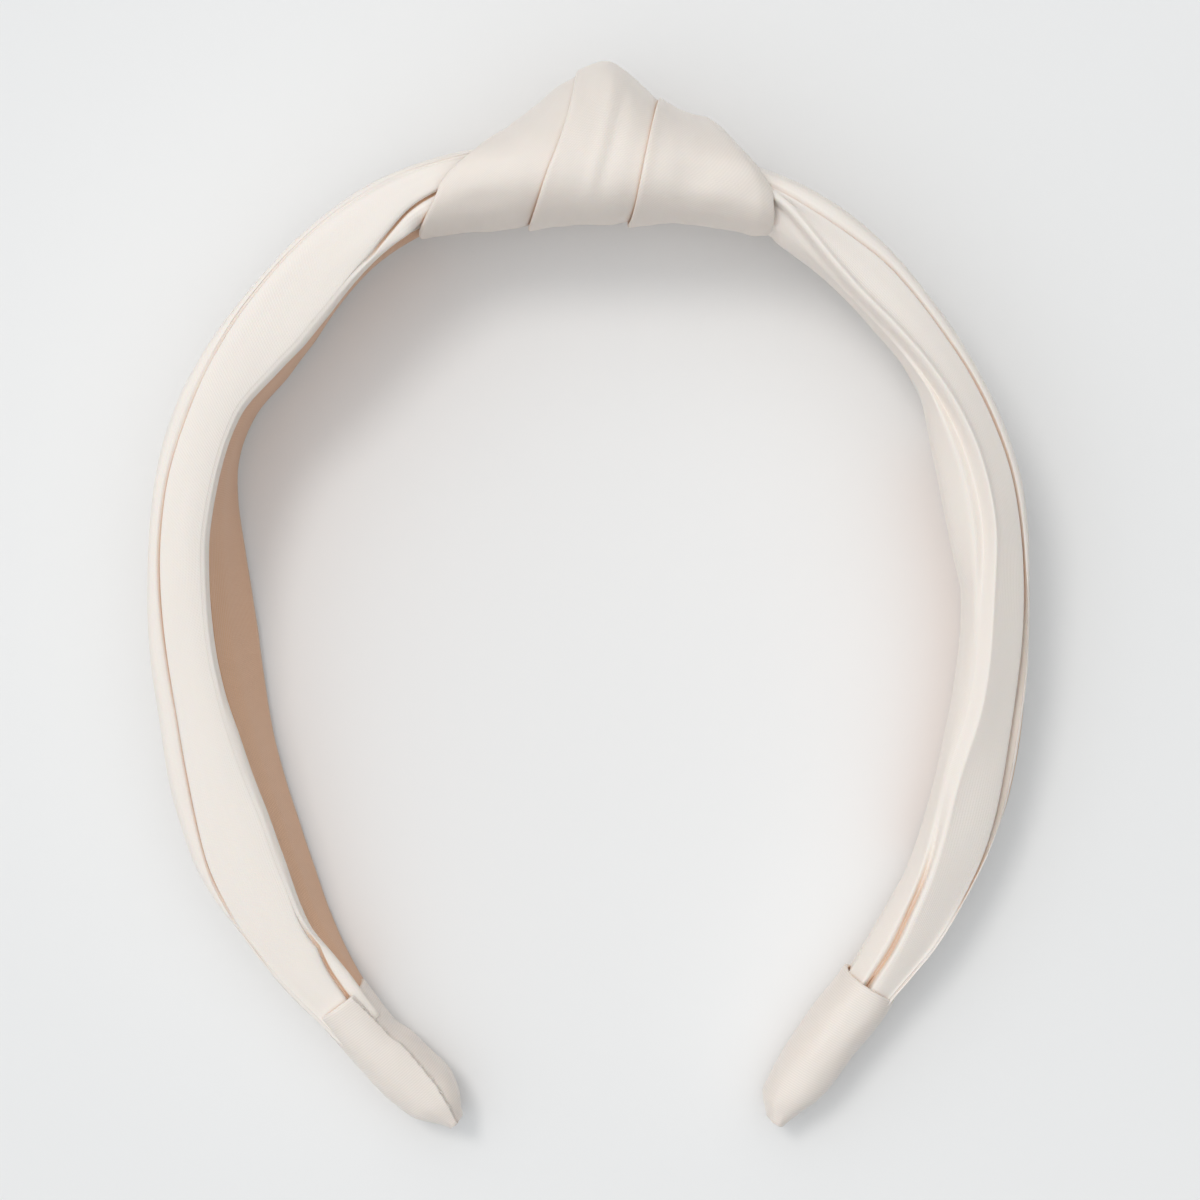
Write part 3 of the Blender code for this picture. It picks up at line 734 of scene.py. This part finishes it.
def make_wrap(name, material):
    """One turn of satin round the knot, with a folded left edge that lies over its neighbour."""
    following = WRAP_ORDER[WRAP_ORDER.index(name) + 1]
    turn = np.arange(STATIONS_ROUND_KNOT) * 360.0 / STATIONS_ROUND_KNOT
    left = round_the_band(name)(turn)
    right = round_the_band(following)(turn)
    last = name == "right"
    rings = []
    for k in range(STATIONS_ROUND_KNOT):
        section = strip_section(right[k] - left[k], 0.0 if last else LAP)
        place = left[k] + section[:, 0]
        share = section[:, 0] / (right[k] - left[k])
        lip = 0.0 if name == "left" else LIP * np.exp(-section[:, 0] / 3.5)
        # the right turn ends in a drooping edge, and each of the others sinks under its neighbour
        if last:
            lowered = 0.85 * ramp(place, right[k] - 2.6, right[k])
        else:
            lowered = 0.35 * ramp(place, right[k] - 3.5, right[k])
            lowered += 0.75 * ramp(place, right[k] - 0.3, right[k] + 1.2)
        relief = wrap_relief(name, np.full_like(place, turn[k]), share, place)
        raised = section[:, 1] + lip - lowered + relief
        outward, forward = knot_outline(place, np.full_like(place, math.radians(turn[k])), raised)
        rings.append(BAND.place(place, outward, forward))
    obj = mesh_object(f"knot_turn_{name}", np.array(rings), material, wraps=True)
    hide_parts(f"knot_wrap_{name}")
    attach(obj, "crown")


# ---------------- the tip covers

# Sizes in mm by the share of the way from the rim to the pinched end. The seam is in degrees round the
# cover, from its outer side over the front, and the lap is how far the upper cloth stands proud there.
COVERS = {
    "left": {
        "outer": [(0, 6.1), (0.1, 6.0), (0.43, 5.9), (0.6, 6.0), (0.8, 5.3), (0.92, 3.4), (1.0, 1.9)],
        "inner": [
            (0, -3.3), (0.1, -3.3), (0.34, -3.0), (0.42, -3.9), (0.6, -4.1), (0.76, -4.4), (0.9, -3.1),
            (1.0, -0.6),
        ],
        "seam": [(0, 118), (0.3, 130), (0.6, 122), (1.0, 100)],
        "lap": 0.75,
    },
    "right": {
        "outer": [
            (0, 6.6), (0.1, 6.8), (0.26, 6.4), (0.45, 5.7), (0.62, 5.6), (0.76, 4.9), (0.88, 3.3),
            (1.0, 2.3),
        ],
        "inner": [
            (0, -2.6), (0.1, -2.7), (0.26, -3.4), (0.52, -3.7), (0.73, -3.7), (0.92, -3.0), (1.0, -0.4),
        ],
        "seam": [(0, 236), (1.0, 222)],
        "lap": 0.35,
    },
}
COVER_HALF = [(0, 7.9), (0.5, 7.2), (0.85, 6.2), (0.95, 5.2), (1.0, 4.2)]
COVER_THICKNESS = 0.8
COVER_SQUARE = 0.82
END_RINGS = 5  # rings that round off the pinched end
STATIONS_ROUND_COVER = 168

# The stitches by the same share, and their slant across the seam in degrees.
STITCHES = 9
FIRST_STITCH = 0.08
STITCH_SPACING = 0.1
STITCH_LENGTH = 0.055
STITCH_SLANT = 5.0
STITCH_STEPS = 8
THREAD_RADIUS = 0.00013  # m


def cover_outline(side, share, turn, raised=0.0):
    """(outward, forward) in mm on a tip cover; turn in radians."""
    tables = COVERS[side]
    outer = softened(tables["outer"], 0.03)(share) + raised
    inner = softened(tables["inner"], 0.03)(share) - raised
    half = softened(COVER_HALF, 0.05)(share) + raised
    across, forward = squarer(np.cos(turn), COVER_SQUARE), squarer(np.sin(turn), COVER_SQUARE)
    return (outer + inner) / 2 + (outer - inner) / 2 * across, half * forward


def cover_relief(side, share, turn):
    """The lap of the seam and the puckers, in mm."""
    seam = softened(COVERS[side]["seam"], 0.08)(share)
    past = (np.degrees(turn) - seam + 180) % 360 - 180
    lap = COVERS[side]["lap"]
    upper = lap * np.exp(np.minimum(past, 0) / 28) * (past <= 0)
    lower = -0.5 * lap * np.exp(-np.maximum(past, 0) / 9) * (past > 0)
    seed = 11.3 if side == "left" else 15.8
    places = np.stack(np.broadcast_arrays(np.cos(turn) * 1.2, np.sin(turn) * 1.2, share * 5.0), axis=-1)
    puckers = (0.10 + 0.22 * ramp(share, 0.7, 1.0)) * cloth_noise(places * (1.5, 1.5, 1.0), seed)
    return upper + lower + puckers


def make_tip_cover(side, material):
    """A pocket over the leg's end, drawn from inside it, round its rim and along its outside."""
    sign = SIDES[side]
    around = STATIONS_ROUND_COVER
    turn = np.arange(around) * 2 * math.pi / around
    inside = [(share, -COVER_THICKNESS) for share in np.linspace(0.9, 0.02, 28)]
    half_thickness = COVER_THICKNESS / 2
    rim_turns = [math.pi * k / 8 for k in range(1, 8)]
    rim = [(-0.012 * math.sin(a), -half_thickness - half_thickness * math.cos(a)) for a in rim_turns]
    outside = [(share, 0.0) for share in np.linspace(0.015, 1.0, 64)]
    rings = []
    for share, raised in inside + rim + outside:
        relief = cover_relief(side, np.full(around, max(share, 0.0)), turn)
        outward, forward = cover_outline(side, max(share, 0.0), turn, raised + relief)
        distance = sign * (rim_distance(side) + COVER_LENGTH * share)
        rings.append(BAND.place(np.full(around, distance), outward, forward))
    rings = narrowed_ends(np.array(rings), steps=END_RINGS, push=0.0005)
    obj = mesh_object(f"satin_tip_{side}", rings[END_RINGS:], material)
    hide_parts(f"tip_cover_{side}")
    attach(obj, f"{side}_leg")


def make_stitches(side, material):
    """Small slip stitches that close the cover's seam."""
    sign = SIDES[side]
    stitches = []
    seam = softened(COVERS[side]["seam"], 0.08)
    for k in range(STITCHES):
        middle = FIRST_STITCH + STITCH_SPACING * k
        stitch = []
        for j in range(STITCH_STEPS + 1):
            along = j / STITCH_STEPS
            share = middle + STITCH_LENGTH * (along - 0.5)
            turn = math.radians(float(seam(share)) + STITCH_SLANT * (along - 0.5))
            lift = 0.3 * math.sin(math.pi * along) + 0.15
            outward, forward = cover_outline(side, share, np.array(turn), lift)
            distance = sign * (rim_distance(side) + COVER_LENGTH * share)
            stitch.append(BAND.place(np.array(distance), outward, forward))
        stitches.append(np.array(stitch))
    thread_object(f"seam_stitches_{side}", stitches, material, side)


def thread_object(name, lines, material, side):
    curve = bpy.data.curves.new(name, "CURVE")
    curve.dimensions = "3D"
    curve.bevel_depth = THREAD_RADIUS
    curve.bevel_resolution = 3
    curve.use_fill_caps = True
    for line in lines:
        spline = curve.splines.new("POLY")
        spline.points.add(len(line) - 1)
        for point, place in zip(spline.points, line):
            point.co = (*place, 1.0)
    curve.materials.append(material)
    obj = new_object(name, curve)
    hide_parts(f"tip_seam_{side}")
    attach(obj, f"{side}_leg")


# ---------------- materials

# The scales of the patterns are in bands or lumps to the metre, and depths are in metres.


def feed(tree, socket, value):
    """Links a socket to another one, or gives it a value."""
    if isinstance(value, bpy.types.NodeSocket):
        tree.links.new(value, socket)
    else:
        socket.default_value = value


def add_node(tree, kind, sockets=None, **settings):
    made = tree.nodes.new(kind)
    for name, value in settings.items():
        setattr(made, name, value)
    for name, value in (sockets or {}).items():
        feed(tree, made.inputs[name], value)
    return made


def math_node(tree, operation, a, b):
    made = add_node(tree, "ShaderNodeMath", operation=operation)
    for socket, value in zip(made.inputs, (a, b)):
        feed(tree, socket, value)
    return made.outputs[0]


def times(tree, a, b):
    return math_node(tree, "MULTIPLY", a, b)


def plus(tree, a, b):
    return math_node(tree, "ADD", a, b)


def mixed(tree, factor, a, b):
    """A colour mix by a factor socket."""
    made = add_node(tree, "ShaderNodeMix", data_type="RGBA")
    for name, value in (("Factor", factor), ("A", a), ("B", b)):
        socket = next(s for s in made.inputs if s.name == name and s.enabled)
        feed(tree, socket, (*value, 1.0) if isinstance(value, tuple) else value)
    return next(s for s in made.outputs if s.enabled)


def new_material(name, **settings):
    """A material, its node tree, and its shader with these settings: sheen_weight=0.2 and so on."""
    material = bpy.data.materials.new(name)
    material.use_nodes = True
    tree = material.node_tree
    shader = tree.nodes["Principled BSDF"]
    for setting, value in settings.items():
        socket = setting.replace("_", " ").title().replace("Ior", "IOR")
        shader.inputs[socket].default_value = value
    return material, tree, shader


def connect(tree, shader, tone, height, strength, depth):
    """Gives a shader its colour, and bumps from a height."""
    sockets = {"Height": height, "Strength": strength, "Distance": depth}
    bump = add_node(tree, "ShaderNodeBump", sockets)
    tree.links.new(tone, shader.inputs["Base Color"])
    tree.links.new(bump.outputs["Normal"], shader.inputs["Normal"])


def object_place(tree):
    return add_node(tree, "ShaderNodeTexCoord").outputs["Object"]


def cloth_place(tree, mapped):
    """The place on the cloth laid flat, or the place in the object where the cloth isn't mapped."""
    if mapped:
        return add_node(tree, "ShaderNodeUVMap", uv_map="cloth").outputs["UV"]
    return object_place(tree)


def pattern(tree, kind, vector, scale, **sockets):
    """The strength of a noise or wave texture at a vector."""
    values = {"Vector": vector, "Scale": scale, **sockets}
    return add_node(tree, f"ShaderNodeTex{kind}", values).outputs["Fac"]


def mapped_range(tree, value, start, end, low, high):
    """Goes from low to high as a value goes from start to end."""
    sockets = {"Value": value, "From Min": start, "From Max": end, "To Min": low, "To Max": high}
    return add_node(tree, "ShaderNodeMapRange", sockets).outputs["Result"]


def shaded(colour, share):
    return tuple(channel * share for channel in colour)


def stretched_coordinates(tree, vector, round_scale, along_scale, turn=0.0):
    mapping = add_node(tree, "ShaderNodeMapping", {"Vector": vector})
    mapping.inputs["Scale"].default_value = (round_scale, along_scale, 1.0)
    mapping.inputs["Rotation"].default_value = (0.0, 0.0, turn)
    return mapping.outputs["Vector"]


def satin_material(name, colour, deep, weave_turn=0.0, weave_tone=0.1, mapped=True):
    """Ivory satin: a fine weave, faint slubs, a soft sheen, and painted warm shade deep in its folds.
    """
    material, tree, shader = new_material(
        name,
        sheen_weight=0.22,
        sheen_roughness=0.4,
        sheen_tint=(1.0, 0.96, 0.91, 1.0),
        specular_ior_level=0.42,
        anisotropic=0.35,
        subsurface_weight=0.12,
        subsurface_radius=(1.0, 0.55, 0.32),
        subsurface_scale=0.0016,
    )
    cloth = cloth_place(tree, mapped)
    warp_lines = stretched_coordinates(tree, cloth, 1.0, 1.0, weave_turn)
    twill_lines = stretched_coordinates(tree, cloth, 1.0, 1.0, weave_turn + 0.9)
    warp = pattern(tree, "Wave", warp_lines, 1250.0, Distortion=0.6)
    twill = pattern(tree, "Wave", twill_lines, 830.0, Distortion=0.8)
    slub = pattern(tree, "Noise", stretched_coordinates(tree, cloth, 900.0, 60.0), 1.0, Detail=3.0)
    cloud = pattern(tree, "Noise", object_place(tree), 55.0, Detail=2.0, Roughness=0.5)
    height = plus(tree, warp, times(tree, twill, 0.7))
    height = plus(tree, height, times(tree, slub, 0.9))

    warm = tuple(c * k for c, k in zip(colour, (1.0, 0.984, 0.966)))
    tone = mixed(tree, times(tree, cloud, 0.8), colour, warm)
    tone = mixed(tree, times(tree, slub, 0.3), tone, shaded(colour, 0.93))
    tone = mixed(tree, times(tree, twill, weave_tone), tone, shaded(colour, 0.72))
    # painted shade: an ambient-occlusion mask turns the colour warm tan where the cloth is hidden in
    # its folds
    fold_occlusion = add_node(tree, "ShaderNodeAmbientOcclusion", {"Distance": 0.0013}, samples=8).outputs["AO"]
    painted_shade_share = mapped_range(tree, fold_occlusion, 0.5, 0.05, 0.0, 1.0)
    tone = mixed(tree, painted_shade_share, tone, deep)
    connect(tree, shader, tone, height, strength=0.35, depth=0.00004)
    rough = mapped_range(tree, slub, 0.3, 0.7, 0.38, 0.48)
    tree.links.new(rough, shader.inputs["Roughness"])
    return material


def ribbon_material(name, colour, mapped=True):
    """The lining: a matt ribbon with fine ribs along its length, whose tan is partly painted shade."""
    material, tree, shader = new_material(
        name, roughness=0.62, sheen_weight=0.25, sheen_roughness=0.5, specular_ior_level=0.3
    )
    cloth = cloth_place(tree, mapped)
    across = stretched_coordinates(tree, cloth, 1.0, 1.0, math.pi / 2)
    ribs = pattern(tree, "Wave", cloth, 480.0, Distortion=0.4, Detail=1.0)
    picks = pattern(tree, "Wave", across, 1100.0)
    cloud = pattern(tree, "Noise", stretched_coordinates(tree, cloth, 700.0, 45.0), 1.0, Detail=4.0)
    height = plus(tree, ribs, times(tree, picks, 0.35))
    between = tuple(c * k for c, k in zip(colour, (0.90, 0.86, 0.82)))
    tone = mixed(tree, times(tree, ribs, 0.5), between, colour)
    tone = mixed(tree, times(tree, cloud, 0.3), tone, shaded(colour, 0.9))
    connect(tree, shader, tone, height, strength=0.5, depth=0.0001)
    return material


def plastic_material():
    material, tree, shader = new_material("moulded_plastic", roughness=0.36)
    grain = pattern(tree, "Noise", object_place(tree), 2600.0, Detail=2.0)
    flow = pattern(tree, "Noise", object_place(tree), 60.0, Detail=3.0)
    tone = mixed(tree, flow, (0.84, 0.83, 0.80), (0.88, 0.87, 0.84))
    connect(tree, shader, tone, grain, strength=0.2, depth=0.00003)
    return material


def glue_material():
    material, tree, shader = new_material("hot_melt", roughness=0.24, transmission_weight=0.3)
    ripple = pattern(tree, "Noise", object_place(tree), 420.0, Detail=2.0)
    tone = mixed(tree, ripple, (0.78, 0.74, 0.63), (0.86, 0.83, 0.74))
    connect(tree, shader, tone, ripple, strength=0.5, depth=0.0003)
    return material


def thread_material():
    material, tree, shader = new_material("twisted_thread", roughness=0.66, sheen_weight=0.2)
    twist = {"Vector": object_place(tree), "Scale": 900.0, "Distortion": 0.5}
    ply = add_node(tree, "ShaderNodeTexWave", twist, bands_direction="DIAGONAL").outputs["Fac"]
    tone = mixed(tree, ply, (0.80, 0.73, 0.65), (0.90, 0.85, 0.79))
    connect(tree, shader, tone, ply, strength=0.6, depth=0.00006)
    return material


def dress(node_names, material):
    """Gives carried-over CAD nodes their finished material."""
    for name in node_names:
        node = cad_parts[name]
        node.data.materials.clear()
        node.data.materials.append(material)


# ---------------- table, light, camera

FLOOR_REACH = 6.0  # m
FILL_ALL_ROUND = 0.15
FILL_OVERHEAD = 1.30
FILL_FROM_LEFT = 0.28
FILL_FROM_BEHIND = 0.10
FILL_COLOUR = (0.958, 0.984, 1.0, 1.0)
BACKDROP = 0.82
KEY_STRENGTH = 0.62
KEY_COLOUR = (1.0, 0.955, 0.91)
KEY_SPREAD = math.radians(15)
TOWARDS_KEY = Vector((-0.30, 0.30, 0.93))
CAMERA_LENS = 133.8
CAMERA_PLACE = (0.00079, -0.00047, 0.716)


def make_floor():
    """A pale table top, far wider than the picture."""
    mesh = bpy.data.meshes.new("table_top")
    corners = [(x * FLOOR_REACH, y * FLOOR_REACH, 0) for x, y in ((-1, -1), (1, -1), (1, 1), (-1, 1))]
    mesh.from_pydata(corners, [], [(0, 1, 2, 3)])
    grey = (0.85, 0.85, 0.85, 1.0)
    material = new_material("pale_table", base_color=grey, roughness=0.9, specular_ior_level=0.1)[0]
    mesh.materials.append(material)
    new_object("table_top", mesh)


def make_light():
    """A soft key from the upper left, and an even fill that is strongest from above and the left."""
    world = bpy.data.worlds.new("studio")
    world.use_nodes = True
    tree = world.node_tree
    background = tree.nodes["Background"]
    direction = add_node(tree, "ShaderNodeTexCoord").outputs["Generated"]
    parts = add_node(tree, "ShaderNodeSeparateXYZ", {"Vector": direction})
    above = math_node(tree, "MAXIMUM", parts.outputs["Z"], 0.0)
    overhead = times(tree, above, above)
    fill = plus(tree, times(tree, overhead, FILL_OVERHEAD), FILL_ALL_ROUND)
    fill = plus(tree, fill, times(tree, parts.outputs["X"], -FILL_FROM_LEFT))
    fill = plus(tree, fill, times(tree, parts.outputs["Y"], FILL_FROM_BEHIND))
    fill = math_node(tree, "MAXIMUM", fill, 0.0)
    seen = add_node(tree, "ShaderNodeLightPath").outputs["Is Camera Ray"]
    lit = times(tree, fill, math_node(tree, "SUBTRACT", 1.0, seen))
    shown = times(tree, seen, BACKDROP)
    tree.links.new(plus(tree, lit, shown), background.inputs["Strength"])
    background.inputs["Color"].default_value = FILL_COLOUR
    bpy.context.scene.world = world
    key = bpy.data.lights.new("key", "SUN")
    key.energy = KEY_STRENGTH
    key.color = KEY_COLOUR
    key.angle = KEY_SPREAD
    new_object("key", key).rotation_euler = TOWARDS_KEY.to_track_quat("Z", "Y").to_euler()


def make_camera():
    """Straight above the band, as far away as a tabletop camera with a long lens."""
    camera = bpy.data.cameras.new("camera")
    camera.lens = CAMERA_LENS
    camera.clip_start = 0.01
    obj = new_object("camera", camera)
    obj.location = CAMERA_PLACE
    bpy.context.scene.camera = obj
    bpy.context.scene.view_settings.view_transform = "Standard"


IVORY = (0.92, 0.856, 0.798)
# painted shade: a darker, warmer copy of the ivory for the knot and the tip covers, standing in for
# their warm shade
IVORY_DARKENED_FOR_SHADE = (0.905, 0.824, 0.76)
# painted shade: the warm tan painted into the satin's folds and creases
PAINTED_FOLD_SHADE = (0.84, 0.53, 0.31)
# partly the ribbon's own colour and partly painted shade: the tan is set so that the shaded inner wall
# of the left leg comes out tan
RIBBON_TAN_WITH_SHADE = (0.82, 0.50, 0.31)


def main():
    satin = satin_material("ivory_satin_cloth", IVORY, PAINTED_FOLD_SHADE, weave_tone=0.03)
    knot_satin = satin_material(
        "ivory_satin_knot", IVORY_DARKENED_FOR_SHADE, PAINTED_FOLD_SHADE, weave_turn=math.pi / 2, weave_tone=0.16
    )
    tip_satin = satin_material(
        "ivory_satin_tips", IVORY_DARKENED_FOR_SHADE, PAINTED_FOLD_SHADE, weave_turn=math.pi / 5, weave_tone=0.26
    )
    ribbon = ribbon_material("tan_ribbon", RIBBON_TAN_WITH_SHADE)
    thread = thread_material()
    for side in SIDES:
        make_sleeve(side, satin)
        make_lining(side, ribbon)
        make_tip_cover(side, tip_satin)
        make_stitches(side, thread)
    for name in WRAP_ORDER[:-1]:
        make_wrap(name, knot_satin)
    dress(["core_crown", "core_leg_left", "core_leg_right"], plastic_material())
    dress(["glue_pad_knot", "glue_pad_tip_left", "glue_pad_tip_right"], glue_material())
    dress(["lining_crown"], ribbon_material("tan_ribbon_inside", RIBBON_TAN_WITH_SHADE, mapped=False))
    dress(["knot_core"], satin_material("ivory_satin_inside", IVORY, PAINTED_FOLD_SHADE, mapped=False))
    make_floor()
    make_light()
    make_camera()


main()
